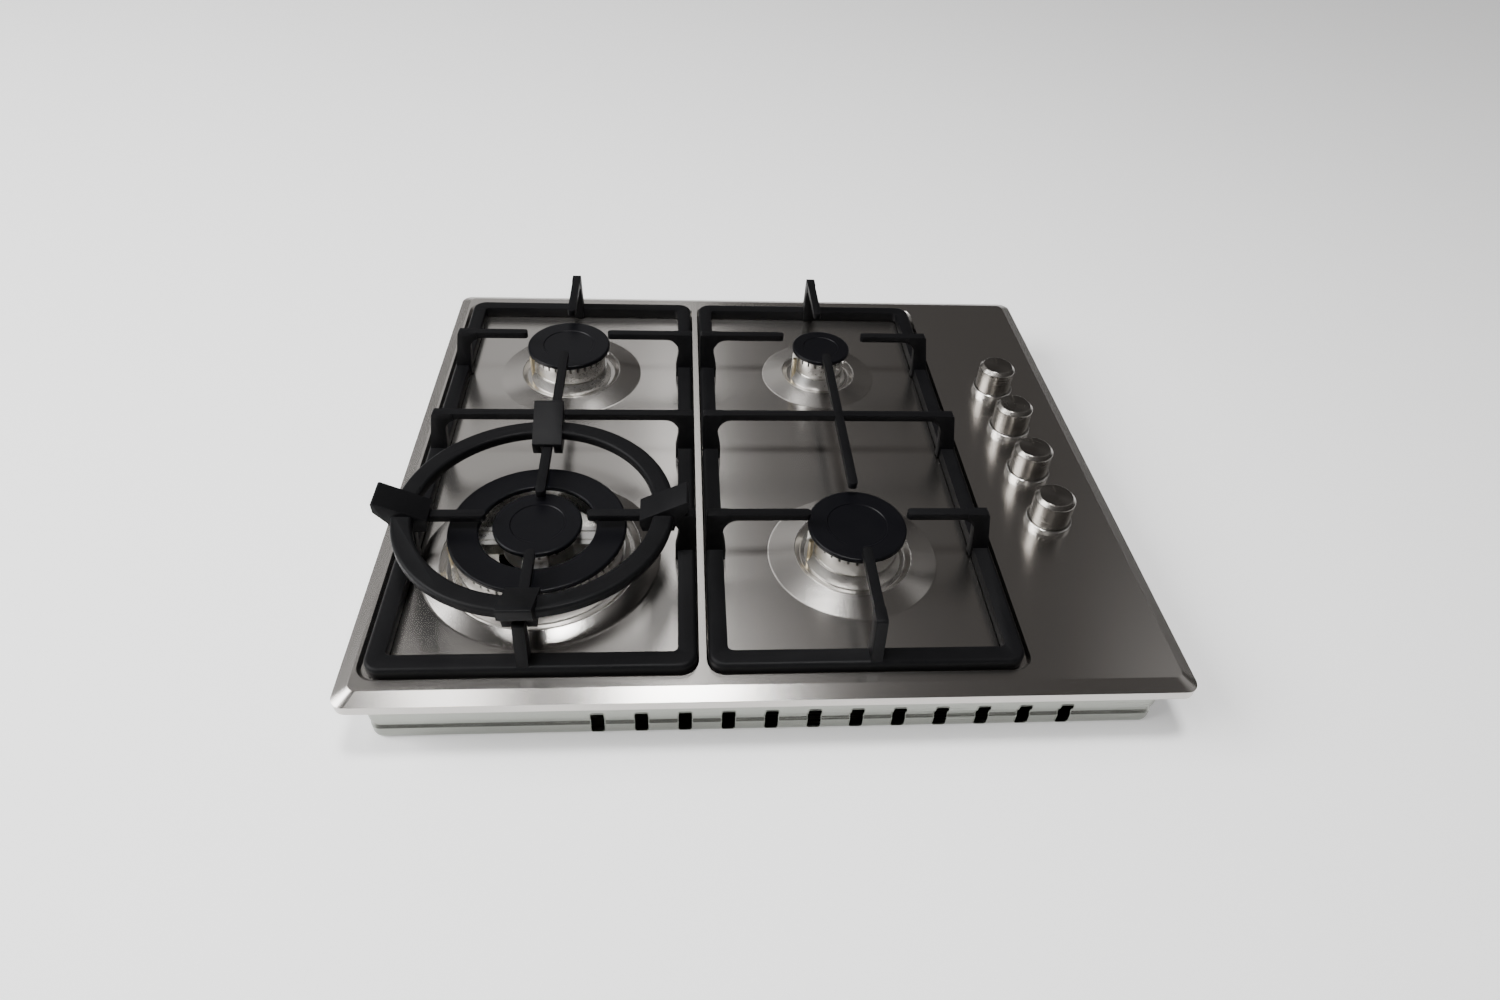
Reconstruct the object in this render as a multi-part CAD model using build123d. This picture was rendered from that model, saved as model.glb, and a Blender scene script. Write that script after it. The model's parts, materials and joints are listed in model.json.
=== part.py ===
from build123d import *
import math
import os

os.makedirs("parts", exist_ok=True)

# Four-burner gas hob, millimetres, +Z up, front edge towards -Y, knobs on the +X side.
# The origin is the centre of the case bottom.

# ---- hob panel and case ----
PANEL_W = 580.0  # panel, left to right
PANEL_D = 510.0  # panel, front to rear
PANEL_CORNER_R = 10.0  # rounded plan corners
SHEET_T = 1.0  # stainless panel sheet
SPARE = 1.0  # how far cutters stand out of what they cut
RIM_H = 13.0  # worktop to the flat top of the panel
CHAMFER_W = 10.0  # sloped border of the panel, seen from above
CHAMFER_H = 4.3  # sloped border, height
LIP_W = 9.0  # inward lip at the foot of the rim
CASE_W = 556.0  # case below the worktop, left to right
CASE_D = 480.0  # case, front to rear
CASE_H = 49.0  # case bottom to the worktop
CASE_T = 0.8  # case sheet
CASE_CORNER_R = 8.0
SEAL_T = 1.5  # foam seal, pressed
SEAL_W = 8.0
SEAL_CORNER_R = 2.0
RIB_DEPTH = 1.6  # groove between the two swelled bands of the case wall
RIB_Z = 16.0  # height of that groove
WALL_PAD_W = 28.0  # flat patches across the groove behind the gas inlet and the cable
SLOT_COUNT = 12  # cooling slots in the front wall
SLOT_PITCH = 30.3
SLOT_W = 10.0
SLOT_H = 21.0
SLOT_Z = 14.0  # centre height of the slots
SLOT_FIRST_X = -123.0
SLOT_CORNER_R = 2.0

# ---- trays for the pan supports ----
BRIDGE_X = -50.5  # middle of the strip between the two trays
BRIDGE_W = 5.0
TRAY_W = 225.0
TRAY_D = 472.0
TRAY_Y = -1.0  # middle of the trays, front to rear
TRAY_DEPTH = 2.5
TRAY_CORNER_R = 13.0
TOP_CORNER_R = 6.0  # plan corners of the flat top
CASE_EDGE = 2.5  # rounded foot of the case

# ---- burners ----
COLUMN_DX = 116.5  # burner columns, each side of the bridge
WOK_DX = 118.0  # wok burner, from the bridge
REAR_Y = 115.0
FRONT_Y = -124.0
SMALL_CAP_R = 26.5
MID_CAP_R = 37.0
WOK_CAP_R = 64.0  # outer ring cap of the wok burner
WOK_HOLE_R = 42.0  # hole of that ring cap
WOK_CORE_R = 32.0  # inner cap of the wok burner
SMALL_BOSS_R = 52.5  # raised boss pressed in the panel round each burner
MID_BOSS_R = 64.5
WOK_BOSS_R = 87.5
BOSS_RISE = 4.5
BOSS_INNER_SLOPE = 4.0  # width of the slope down to the burner
BOSS_CREST_R = 1.5
BOSS_FOOT_R = 6.0
LIP_GAP = 8.0  # burner foot to the crest of the boss
CAP_OVERHANG = 5.0  # cap edge past the crown
WOK_OVERHANG = 3.0
CAP_H = 6.0
CAP_EDGE_H = 3.5  # upright edge of a cap
CAP_DISH_DEPTH = 0.6
CAP_DISH_SHARE = 0.62  # dish radius over cap radius
CAP_ROUND = 1.5
CAP_RIB_T = 2.0
HOLE_OVERHANG = 3.0  # ring cap past the inner wall of its crown
CROWN_SKIRT_T = 2.0
GROOVE_DEPTH = 1.2  # shadow groove at the foot of a crown
GROOVE_H = 1.5
CROWN_STEP = 1.0  # crown inside the edge of the cup
FLARE_W = 3.5  # spread of the cup's foot
COLLAR_H = 9.0  # cup above the boss floor
CROWN_H = 17.5  # crown above the cup
WOK_CORE_RISE = 3.0  # inner wok crown above the outer one
WOK_ARM_W = 18.0  # gas channels between the two wok crowns
WOK_ARM_DROP = 4.0  # channels below the crown's top
CROWN_WALL = 4.0
PORT_W = 1.8
PORT_H = 5.0
PORT_PITCH = 6.5  # flame ports along the edge of a crown
RIB_H = 2.0  # locating ribs of crowns and caps
FIT_GAP = 0.3  # clearance of parts that lift off
CUP_WALL = 2.5
CUP_FLOOR_Z = 30.0
CUP_HOLE_GAP = 0.4
THROAT_R = 8.0
THROAT_WALL = 2.5
STUD_R = 2.0  # M4 studs under the panel
STUD_OUT = 6.5  # stud from the crest of the boss
STUD_LENGTH = 13.0
WELD_DEPTH = 0.75  # stud end below the upper face of the sheet
NUT_R = 4.0
NUT_H = 3.2
FLANGE_T = 2.0
WINDOW_COUNT = 3  # air holes in the cup floor
WINDOW_ANGLE = 30.0
HOLDER_R = 9.0  # jet holder in the middle of the cup
HOLDER_RISE = 4.0  # holder above the cup floor
CUP_ARM = 24.0  # inlet arm, from the burner axis
JET_BORE_R = 2.0
PIN_R = 0.9
ROD_DROP = 14.0  # electrodes and probes below the flange
INJECTOR_R = 4.5
INJECTOR_H = 9.0
INJECTOR_SHANK = 5.0
NOSE_R = 3.5  # tapered end of the jet
NOSE_H = 2.0
JET_R = 0.6
CERAMIC_R = 2.5  # spark electrode
PROBE_R = 2.0  # thermocouple
SIDE_GAP = 0.6  # rods beside the crown
IGNITER_ANGLE = 150.0
PROBE_ANGLE = 190.0

# ---- gas pipes and rail ----
PIPE_R = 3.0
PIPE_Z = 20.0
PIPE_BEND_R = 12.0
SOCKET_R = 6.0  # pipe sockets of cups and taps
SOCKET_DEPTH = 8.0
RAIL_R = 8.0
RAIL_BORE_R = 6.5
RAIL_DX = 26.0  # rail beside the tap column
RAIL_FRONT_Y = -116.0
INLET_R = 10.475  # G1/2 male thread, 20.95 mm across
INLET_BORE_R = 6.0
INLET_STUB = 14.0  # thread behind the case
INLET_GAP = 1.2  # hole in the case wall past the thread, room for a hose nut to start

# ---- taps and knobs ----
KNOB_X = 230.0
KNOB_PITCH = 60.0
KNOB_COUNT = 4
KNOB_R = 16.0
KNOB_H = 28.0  # knob top above the panel
KNOB_CHAMFER = 3.0
KNOB_ROUND = 1.0
KNOB_WALL = 2.5
KNOB_LIFT = 4.2  # knob foot above the panel
BEZEL_R = 18.2
BEZEL_H = 4.5
BEZEL_GAP = 0.4
BEZEL_ROUND = 0.8
PUSH_TRAVEL = 3.5
STEM_R = 4.0
STEM_FLAT = 2.6  # flat of the D-shaped stem, from the axis
HUB_R = 7.0
TAP_BODY_R = 13.0
TAP_FLOOR_Z = 9.0
TAP_TOP_Z = 40.0
PLUG_TOP_R = 8.0
PLUG_FOOT_R = 5.5
PLUG_FOOT_Z = 12.0
PLUG_TOP_Z = 31.0
PLUG_GAP = 0.05  # greased running fit
SPRING_R = 5.6  # spring, to the middle of the wire
SPRING_WIRE_R = 0.5
SPRING_TURNS = 4
BONNET_Z = 48.0  # top of the tap's bonnet
BONNET_R = 10.0
ROOF_T = 2.0
SADDLE_W = 14.0
OUTLET_L = 12.0
STEM_LOW_Z = 26.0
STEM_TOP_GAP = 6.0  # stem top below the knob top
HUB_RECESS = 2.0
POINTER_W = 1.4
POINTER_DEPTH = 0.5
SEAL_BORE_R = 7.0  # panel hole of a stem
SWITCH_WALL = 2.0
SWITCH_GAP = 1.0
STEM_COLLAR_R = 6.6
STEM_COLLAR_T = 1.5

# ---- pan supports ----
SUPPORT_W = 218.0
SUPPORT_D = 461.5
SUPPORT_Y = -4.75
SUPPORT_EDGE = 3.8  # support to the middle of the bridge
BAR_W = 13.0
BAR_H = 9.0
FOOT_T = 1.5  # rubber feet
FOOT_R = 4.0
FINGER_H = 43.0  # finger tops above the panel
FINGER_W = 7.0
FINGER_T = 5.5
FINGER_TIP_ROUND = 3.0  # rounded finger ends, seen from above
LEG_T = 8.0
LEG_FOOT_W = 15.0
LEG_LEAN = 8.0  # outer legs lean in by this much
TIP_R = 36.0  # finger tips to the burner axis
CROSS_TIP_R = 31.0  # tips of the middle fingers
WOK_CROSS_TIP_R = 22.0
ELBOW_R = 2.0
KNEE_R = 12.0  # hollow curve under the start of a finger
SIDE_TOP_W = 10.0  # width of a leg at its top
END_TOP_W = 7.0  # the same on the front and rear legs
END_LEAN = 7.0
FRAME_CORNER_R = 12.0
BAR_ROUND = 3.0
CROSS_Y = -5.0  # cross bar between the burners

# ---- wok ring ----
RING_OUT_R = 98.5
RING_IN_R = 84.0
RING_T = 7.0
LUG_W = 22.5
LUG_IN_R = 74.0
LUG_OUT_R = 109.0
LUG_RISE = 17.8
LUG_DROP = 8.0  # lug legs below the finger tops
LUG_T = 9.5
LUG_START = 2.6  # inner edge of a lug above the finger tops
RING_ROUND = 2.5
LUG_ROUND = 1.5
LUG_STEP = 2.0  # lug legs past the band of the ring
FINGER_COUNT = 4  # fingers and lugs round a burner
NOTCH_GAP = 1.0
REST_GAP = 0.05

# ---- electrics ----
IGNITER_W = 62.0
IGNITER_D = 44.0
IGNITER_H = 24.0
IGNITER_Y = 0.0
IGNITER_ROUND = 2.0
LEAD_R = 1.25
LEAD_Z = 4.0
LEAD_BEND_R = 8.0
SWITCH_H = 7.0
GROMMET_BORE_R = 4.0
GROMMET_R = 8.0
GROMMET_X = 150.0
GROMMET_LIP = 2.0
BRACKET_W = 18.0
BRACKET_T = 1.5
BRACKET_PITCH = 150.0
CLAMP_HOLE_R = 2.1  # holes in the case bottom for the worktop clamps
CLAMP_DX = 520.0
CLAMP_DY = 440.0
RAIL_BRACKET_ROWS = (0.0, 170.0)
INLET_NUT_R = 14.0
INLET_NUT_L = 14.0
SCREW_R = 2.0
SCREW_HEAD_R = 3.8
SCREW_HEAD_H = 1.8
SCREW_LENGTH = 5.0
SCREW_Z = 44.0

# ---- heights and places that follow ----
PANEL_Z = CASE_H + RIM_H
LIP_Z = CASE_H + SEAL_T
TRAY_Z = PANEL_Z - TRAY_DEPTH
UNDER_Z = TRAY_Z - SHEET_T
CREST_Z = TRAY_Z + BOSS_RISE
COLLAR_Z = TRAY_Z + COLLAR_H
CROWN_Z = COLLAR_Z + CROWN_H
FINGER_Z = PANEL_Z + FINGER_H
CASE_TOP_Z = UNDER_Z - 0.3
FLANGE_Z = UNDER_Z - FLANGE_T
BAR_Z = TRAY_Z + FOOT_T
LEFT_X = BRIDGE_X - COLUMN_DX
WOK_X = BRIDGE_X - WOK_DX
RIGHT_X = BRIDGE_X + COLUMN_DX
RAIL_X = KNOB_X + RAIL_DX
KNOB_ROWS = [KNOB_PITCH * ((KNOB_COUNT - 1) / 2 - i) for i in range(KNOB_COUNT)]
KNOB_FOOT_Z = PANEL_Z + KNOB_LIFT
KNOB_TOP_Z = PANEL_Z + KNOB_H
STEM_TOP_Z = KNOB_TOP_Z - STEM_TOP_GAP
TAP_MOUTH_X = KNOB_X - TAP_BODY_R - OUTLET_L
DECK_Z = COLLAR_Z + 2 * GROOVE_H
HOLDER_Z = CUP_FLOOR_Z + HOLDER_RISE
ROD_FOOT_Z = FLANGE_Z - ROD_DROP
BRACKET_PLACES = [(side, row * BRACKET_PITCH) for side in (-1, 1) for row in (-1, 0, 1)]
CLAMP_PLACES = [(i * CLAMP_DX / 2, j * CLAMP_DY / 2) for i in (-1, 1) for j in (-1, 1)]


class Burner:
    """The named radii of one burner, all from its cap and its boss."""

    def __init__(self, name, x, y, cap_r, boss_r, overhang=CAP_OVERHANG):
        self.name = name
        self.x = x
        self.y = y
        self.cap_r = cap_r
        self.boss_r = boss_r
        self.crown_r = cap_r - overhang
        self.collar_r = self.crown_r + CROWN_STEP
        self.flare_r = self.collar_r + FLARE_W
        self.crest_r = self.flare_r + LIP_GAP
        self.cup_r = self.collar_r - CUP_WALL
        self.stud_r = self.crest_r + STUD_OUT
        self.flange_r = self.stud_r + NUT_R

    def beside(self, radius, angle):
        """The axis of a rod of this radius that stands close to the crown."""
        reach = self.crown_r + radius + SIDE_GAP
        a = math.radians(angle)
        return self.x + reach * math.cos(a), self.y + reach * math.sin(a)


SMALL = Burner("rear_right", RIGHT_X, REAR_Y, SMALL_CAP_R, SMALL_BOSS_R)
REAR = Burner("rear_left", LEFT_X, REAR_Y, MID_CAP_R, MID_BOSS_R)
WOK = Burner("wok", WOK_X, FRONT_Y, WOK_CAP_R, WOK_BOSS_R, WOK_OVERHANG)
FRONT = Burner("front_right", RIGHT_X, FRONT_Y, MID_CAP_R, MID_BOSS_R)
BURNERS = [SMALL, REAR, WOK, FRONT]


def save(shape, name):
    export_step(shape, "parts/" + name + ".step")


def plan(w, d, r, z, x=0.0, y=0.0):
    """A rounded rectangle lying at height z."""
    return Plane((x, y, z)) * RectangleRounded(w, d, r)


def prism(w, d, r, low, high, x=0.0, y=0.0):
    return extrude(plan(w, d, r, low, x, y), high - low)


def block(x0, x1, y0, y1, z0, z1):
    box = Box(x1 - x0, y1 - y0, z1 - z0)
    return Pos((x0 + x1) / 2, (y0 + y1) / 2, (z0 + z1) / 2) * box


def rod(r, z0, z1, x=0.0, y=0.0):
    return Pos(x, y, (z0 + z1) / 2) * Cylinder(r, z1 - z0)


def rod_x(r, x0, x1, y, z):
    return Pos((x0 + x1) / 2, y, z) * Rot(0, 90, 0) * Cylinder(r, abs(x1 - x0))


def rod_y(r, y0, y1, x, z):
    return Pos(x, (y0 + y1) / 2, z) * Rot(90, 0, 0) * Cylinder(r, abs(y1 - y0))


def corner(face, u, v):
    """The vertex of a face in the XZ plane that lies nearest to u, v."""
    return face.vertices().sort_by_distance((u, 0, v))[0]


def outlined(points, rounds=()):
    """A face in the XZ plane, with (point, radius) pairs for its rounded corners."""
    face = make_face(Plane.XZ * Polyline(*points, close=True))
    for (u, v), radius in rounds:
        face = fillet(corner(face, u, v), radius)
    return face


def turned(points, rounds=()):
    """A solid of revolution about the Z axis."""
    return revolve(outlined(points, rounds), Axis.Z)


def polar(shape, count, start=0.0):
    """Copies of a shape round the Z axis."""
    return [Rot(0, 0, start + 360.0 * i / count) * shape for i in range(count)]


# ---------------------------------------------------------------- panel and case


def rim_form(inset, drop):
    """The filled outline of the panel, with its sloped border."""
    w = PANEL_W - 2 * inset
    d = PANEL_D - 2 * inset
    r = PANEL_CORNER_R - inset
    shoulder = PANEL_Z - CHAMFER_H - drop + inset * CHAMFER_H / CHAMFER_W
    shrink = 2 * (CHAMFER_W - inset)
    top_r = PANEL_CORNER_R - CHAMFER_W + TOP_CORNER_R
    skirt = prism(w, d, r, LIP_Z + drop, shoulder)
    slope = loft([plan(w, d, r, shoulder), plan(w - shrink, d - shrink, top_r, PANEL_Z - drop)], ruled=True)
    return skirt + slope


def tray_form(middle_x, drop):
    """The cutter of one tray; its walls slope by 45 degrees and its top stands clear of the sheet."""
    low = plan(TRAY_W - 2 * TRAY_DEPTH, TRAY_D - 2 * TRAY_DEPTH, TRAY_CORNER_R - TRAY_DEPTH,
               TRAY_Z - drop, middle_x, TRAY_Y)
    high = plan(TRAY_W + 2 * SPARE, TRAY_D + 2 * SPARE, TRAY_CORNER_R + SPARE,
                PANEL_Z - drop + SPARE, middle_x, TRAY_Y)
    return loft([low, high], ruled=True)


def boss_form(burner, drop):
    """The ring-shaped swelling of the sheet round a burner."""
    floor = TRAY_Z - drop
    crest = CREST_Z - drop
    inner_r = burner.crest_r - BOSS_INNER_SLOPE
    points = [
        (inner_r - BOSS_FOOT_R / 3, floor - SHEET_T / 2),
        (inner_r - BOSS_FOOT_R / 3, floor),
        (inner_r, floor),
        (burner.crest_r, crest),
        (burner.boss_r, floor),
        (burner.boss_r + BOSS_FOOT_R, floor),
        (burner.boss_r + BOSS_FOOT_R, floor - SHEET_T / 2),
    ]
    rounds = [
        ((inner_r, floor), BOSS_CREST_R),
        ((burner.crest_r, crest), BOSS_CREST_R),
        ((burner.boss_r, floor), BOSS_FOOT_R),
    ]
    return Pos(burner.x, burner.y, 0) * turned(points, rounds)


def sheet_form(inset, drop):
    """Everything below one surface of the panel sheet."""
    form = rim_form(inset, drop)
    for side in (-1, 1):
        form -= tray_form(BRIDGE_X + side * (BRIDGE_W + TRAY_W) / 2, drop)
    for burner in BURNERS:
        form += boss_form(burner, drop)
    return form


def stud_places(burner):
    for i in range(3):
        a = math.radians(90 + 120 * i)
        yield burner.x + burner.stud_r * math.cos(a), burner.y + burner.stud_r * math.sin(a)


def top_panel():
    panel = sheet_form(0, 0) - sheet_form(SHEET_T, SHEET_T)
    panel -= prism(PANEL_W - 2 * LIP_W, PANEL_D - 2 * LIP_W, CASE_CORNER_R,
                   LIP_Z - SPARE, LIP_Z + 2 * SHEET_T)
    for b in BURNERS:
        panel -= rod(b.flare_r + CUP_HOLE_GAP, UNDER_Z - SPARE, TRAY_Z + SPARE, b.x, b.y)
        for radius, angle in ((CERAMIC_R, IGNITER_ANGLE), (PROBE_R, PROBE_ANGLE)):
            x, y = b.beside(radius, angle)
            panel -= rod(radius + CUP_HOLE_GAP, UNDER_Z - SPARE, CREST_Z + SPARE, x, y)
        slope = BOSS_RISE * (b.boss_r - b.stud_r) / (b.boss_r - b.crest_r)
        for x, y in stud_places(b):
            panel += rod(STUD_R, UNDER_Z - STUD_LENGTH, TRAY_Z + slope - WELD_DEPTH, x, y)
    for y in KNOB_ROWS:
        panel -= rod(SEAL_BORE_R, PANEL_Z - 2 * SHEET_T, PANEL_Z + SPARE, KNOB_X, y)
    return panel


def case_form(inset, low):
    """The filled case, with the groove between its two swelled bands."""
    steps = [
        (low, CASE_EDGE + inset),
        (CASE_EDGE, CASE_EDGE / 4 + inset),
        (2 * CASE_EDGE, inset),
        (RIB_Z - 2.5 * RIB_DEPTH, inset),
        (RIB_Z - RIB_DEPTH, inset + RIB_DEPTH),
        (RIB_Z + RIB_DEPTH, inset + RIB_DEPTH),
        (RIB_Z + 2.5 * RIB_DEPTH, inset),
        (CASE_TOP_Z, inset),
    ]
    rings = [plan(CASE_W - 2 * i, CASE_D - 2 * i, CASE_CORNER_R - i, z) for z, i in steps]
    form = loft(rings, ruled=True)
    half = WALL_PAD_W / 2 - inset
    for x in (RAIL_X, GROMMET_X):
        form += block(x - half, min(x + half, CASE_W / 2 - CASE_CORNER_R), CASE_D / 2 - 3 * RIB_DEPTH,
                      CASE_D / 2 - inset, PIPE_Z - half, PIPE_Z + half)
    return form


def bottom_case():
    case = case_form(0, 0) - case_form(CASE_T, CASE_T)
    wall = (CASE_D / 2 - 2 * CASE_T, CASE_D / 2 + SPARE)
    for i in range(SLOT_COUNT):
        face = Plane.XZ * RectangleRounded(SLOT_W, SLOT_H, SLOT_CORNER_R)
        slot = extrude(face, 3 * RIB_DEPTH + CASE_T, both=True)
        case -= Pos(SLOT_FIRST_X + i * SLOT_PITCH, -CASE_D / 2, SLOT_Z) * slot
    case -= rod_y(INLET_R + INLET_GAP, *wall, RAIL_X, PIPE_Z)
    case -= rod_y(GROMMET_R - GROMMET_LIP, *wall, GROMMET_X, PIPE_Z)
    for x, y in CLAMP_PLACES:
        case -= rod(CLAMP_HOLE_R, -SPARE, CASE_T + SPARE, x, y)
    for side, y in BRACKET_PLACES:
        case -= rod_x(SCREW_R, side * (CASE_W / 2 - SCREW_LENGTH), side * (CASE_W / 2 + SPARE), y, SCREW_Z)
    return case


def rim_seal():
    w = PANEL_W - 2 * SHEET_T
    d = PANEL_D - 2 * SHEET_T
    outer = prism(w, d, PANEL_CORNER_R - SHEET_T, CASE_H, LIP_Z)
    return outer - prism(w - 2 * SEAL_W, d - 2 * SEAL_W, SEAL_CORNER_R, CASE_H - SPARE, LIP_Z + SPARE)


def case_brackets():
    """Angles between the case walls and the underside of the panel."""
    group = Part()
    wall_x = CASE_W / 2 - CASE_T
    for side, y in BRACKET_PLACES:
        top = UNDER_Z if side < 0 else PANEL_Z - SHEET_T
        low, high = y - BRACKET_W / 2, y + BRACKET_W / 2
        x0, x1 = sorted((side * wall_x, side * (wall_x - BRACKET_T)))
        upright = block(x0, x1, low, high, SCREW_Z - BRACKET_W / 2, top)
        x0, x1 = sorted((side * wall_x, side * (wall_x - BRACKET_W)))
        shelf = block(x0, x1, low, high, top - BRACKET_T, top)
        hole = rod_x(SCREW_R, side * (wall_x - 2 * BRACKET_T), side * CASE_W / 2, y, SCREW_Z)
        group += upright + shelf - hole
    return group


def case_screws():
    group = Part()
    for side, y in BRACKET_PLACES:
        face_x = side * CASE_W / 2
        shank = rod_x(SCREW_R, face_x - side * SCREW_LENGTH, face_x, y, SCREW_Z)
        head = rod_x(SCREW_HEAD_R, face_x, face_x + side * SCREW_HEAD_H, y, SCREW_Z)
        group += shank + head
    return group


# ---------------------------------------------------------------- burners


def cup_points(b):
    """Half section of a burner cup: floor, wall, flange under the panel, spread foot."""
    return [
        (0, CUP_FLOOR_Z),
        (b.collar_r, CUP_FLOOR_Z),
        (b.collar_r, FLANGE_Z),
        (b.flange_r, FLANGE_Z),
        (b.flange_r, UNDER_Z),
        (b.flare_r, UNDER_Z),
        (b.flare_r, TRAY_Z + SHEET_T),
        (b.collar_r, COLLAR_Z),
        (b.cup_r, COLLAR_Z),
        (b.cup_r, CUP_FLOOR_Z + CUP_WALL),
        (0, CUP_FLOOR_Z + CUP_WALL),
    ]


def burner_cup(b, inlet_angle):
    cup = turned(cup_points(b))
    cup += rod(HOLDER_R, PIPE_Z - SOCKET_R, HOLDER_Z)
    arm = rod_x(SOCKET_R, 0, CUP_ARM, 0, PIPE_Z)
    arm_bore = rod_x(PIPE_R, CUP_ARM - SOCKET_DEPTH, CUP_ARM + SPARE, 0, PIPE_Z)
    arm_bore += rod_x(JET_BORE_R, 0, CUP_ARM, 0, PIPE_Z)
    cup += arm
    cup -= arm_bore
    cup -= rod(JET_BORE_R, PIPE_Z, HOLDER_Z + SPARE)
    window_r = (b.cup_r - HOLDER_R) / 2 - CUP_WALL
    window = rod(window_r, CUP_FLOOR_Z - SPARE, CUP_FLOOR_Z + CUP_WALL + SPARE, (b.cup_r + HOLDER_R) / 2)
    for hole in polar(window, WINDOW_COUNT, WINDOW_ANGLE):
        cup -= hole
    cup = Pos(b.x, b.y, 0) * Rot(0, 0, inlet_angle) * cup
    for x, y in stud_places(b):
        cup -= rod(STUD_R + FIT_GAP, FLANGE_Z - SPARE, UNDER_Z + SPARE, x, y)
    for radius, angle in ((CERAMIC_R, IGNITER_ANGLE), (PROBE_R, PROBE_ANGLE)):
        x, y = b.beside(radius, angle)
        cup -= rod(radius, CUP_FLOOR_Z - SPARE, COLLAR_Z + SPARE, x, y)
    return cup


def injector(b):
    """A brass jet screwed into the holder in the middle of the cup."""
    hexagon = extrude(Plane((0, 0, HOLDER_Z)) * RegularPolygon(INJECTOR_R, 6), INJECTOR_H - NOSE_H)
    nose = Pos(0, 0, HOLDER_Z + INJECTOR_H - NOSE_H / 2) * Cone(NOSE_R, NOSE_R / 2, NOSE_H)
    jet = hexagon + nose + rod(JET_BORE_R, HOLDER_Z - INJECTOR_SHANK, HOLDER_Z)
    jet -= rod(JET_R, HOLDER_Z - INJECTOR_SHANK - SPARE, HOLDER_Z + INJECTOR_H + SPARE)
    return Pos(b.x, b.y, 0) * jet


def burner_nuts():
    group = Part()
    for b in BURNERS:
        for x, y in stud_places(b):
            nut = extrude(Plane((x, y, FLANGE_Z - NUT_H)) * RegularPolygon(NUT_R, 6), NUT_H)
            group += nut - rod(STUD_R, FLANGE_Z - NUT_H - SPARE, FLANGE_Z + SPARE, x, y)
    return group


def ports(radius, top):
    """Cutters of the flame ports along the upper edge of a crown wall."""
    count = int(2 * math.pi * radius / PORT_PITCH)
    cutter = block(radius - CROWN_WALL - SPARE, radius + SPARE, -PORT_W / 2, PORT_W / 2,
                   top - PORT_H, top + SPARE)
    return polar(cutter, count)


def foot_points(b):
    """Lower outside of a crown: skirt inside the cup, shadow groove, wall up to the top."""
    skirt_r = b.cup_r - FIT_GAP
    return [
        (skirt_r - CROWN_SKIRT_T, COLLAR_Z - RIB_H),
        (skirt_r, COLLAR_Z - RIB_H),
        (skirt_r, COLLAR_Z),
        (b.crown_r - GROOVE_DEPTH, COLLAR_Z),
        (b.crown_r - GROOVE_DEPTH, COLLAR_Z + GROOVE_H),
        (b.crown_r, COLLAR_Z + GROOVE_H),
        (b.crown_r, CROWN_Z),
        (b.crown_r - CROWN_WALL, CROWN_Z),
        (b.crown_r - CROWN_WALL, DECK_Z + CROWN_SKIRT_T),
    ]


def throat_points():
    """The venturi tube in the middle of a crown."""
    outer_r = THROAT_R + THROAT_WALL
    return [
        (outer_r, DECK_Z + CROWN_SKIRT_T),
        (outer_r, DECK_Z + THROAT_WALL + CROWN_SKIRT_T),
        (THROAT_R, DECK_Z + THROAT_WALL + CROWN_SKIRT_T),
        (THROAT_R, COLLAR_Z - THROAT_R),
        (outer_r, COLLAR_Z - THROAT_R),
        (outer_r, DECK_Z),
    ]


def round_crown(b):
    inner = (b.cup_r - FIT_GAP - CROWN_SKIRT_T, DECK_Z)
    crown = turned(foot_points(b) + throat_points() + [inner])
    for cutter in ports(b.crown_r, CROWN_Z):
        crown -= cutter
    return Pos(b.x, b.y, 0) * crown


def wok_crown(b):
    """Outer ring channel, inner crown on the throat, and four channels that join them."""
    hole_r = WOK_HOLE_R + HOLE_OVERHANG
    ring = turned(foot_points(b) + [
        (hole_r + CROWN_WALL, DECK_Z + CROWN_SKIRT_T),
        (hole_r + CROWN_WALL, CROWN_Z),
        (hole_r, CROWN_Z),
        (hole_r, DECK_Z),
        (b.cup_r - FIT_GAP - CROWN_SKIRT_T, DECK_Z),
    ])
    core_r = WOK_CORE_R - CAP_OVERHANG
    core_z = CROWN_Z + WOK_CORE_RISE
    core = turned([
        (core_r, DECK_Z),
        (core_r, core_z),
        (core_r - CROWN_WALL, core_z),
        (core_r - CROWN_WALL, DECK_Z + CROWN_SKIRT_T),
    ] + throat_points())
    channel = block(core_r - CROWN_WALL / 2, hole_r + CROWN_WALL / 2, -WOK_ARM_W / 2, WOK_ARM_W / 2,
                    DECK_Z, CROWN_Z - WOK_ARM_DROP)
    for offset in (-WOK_ARM_W / 4, WOK_ARM_W / 4):
        channel -= block(core_r, hole_r, offset - PORT_W / 2, offset + PORT_W / 2,
                         CROWN_Z - WOK_ARM_DROP - PORT_W, CROWN_Z)
    crown = ring + core
    for arm in polar(channel, FINGER_COUNT):
        crown += arm
    for cutter in ports(b.crown_r, CROWN_Z) + ports(core_r, core_z):
        crown -= cutter
    return Pos(b.x, b.y, 0) * crown


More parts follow.
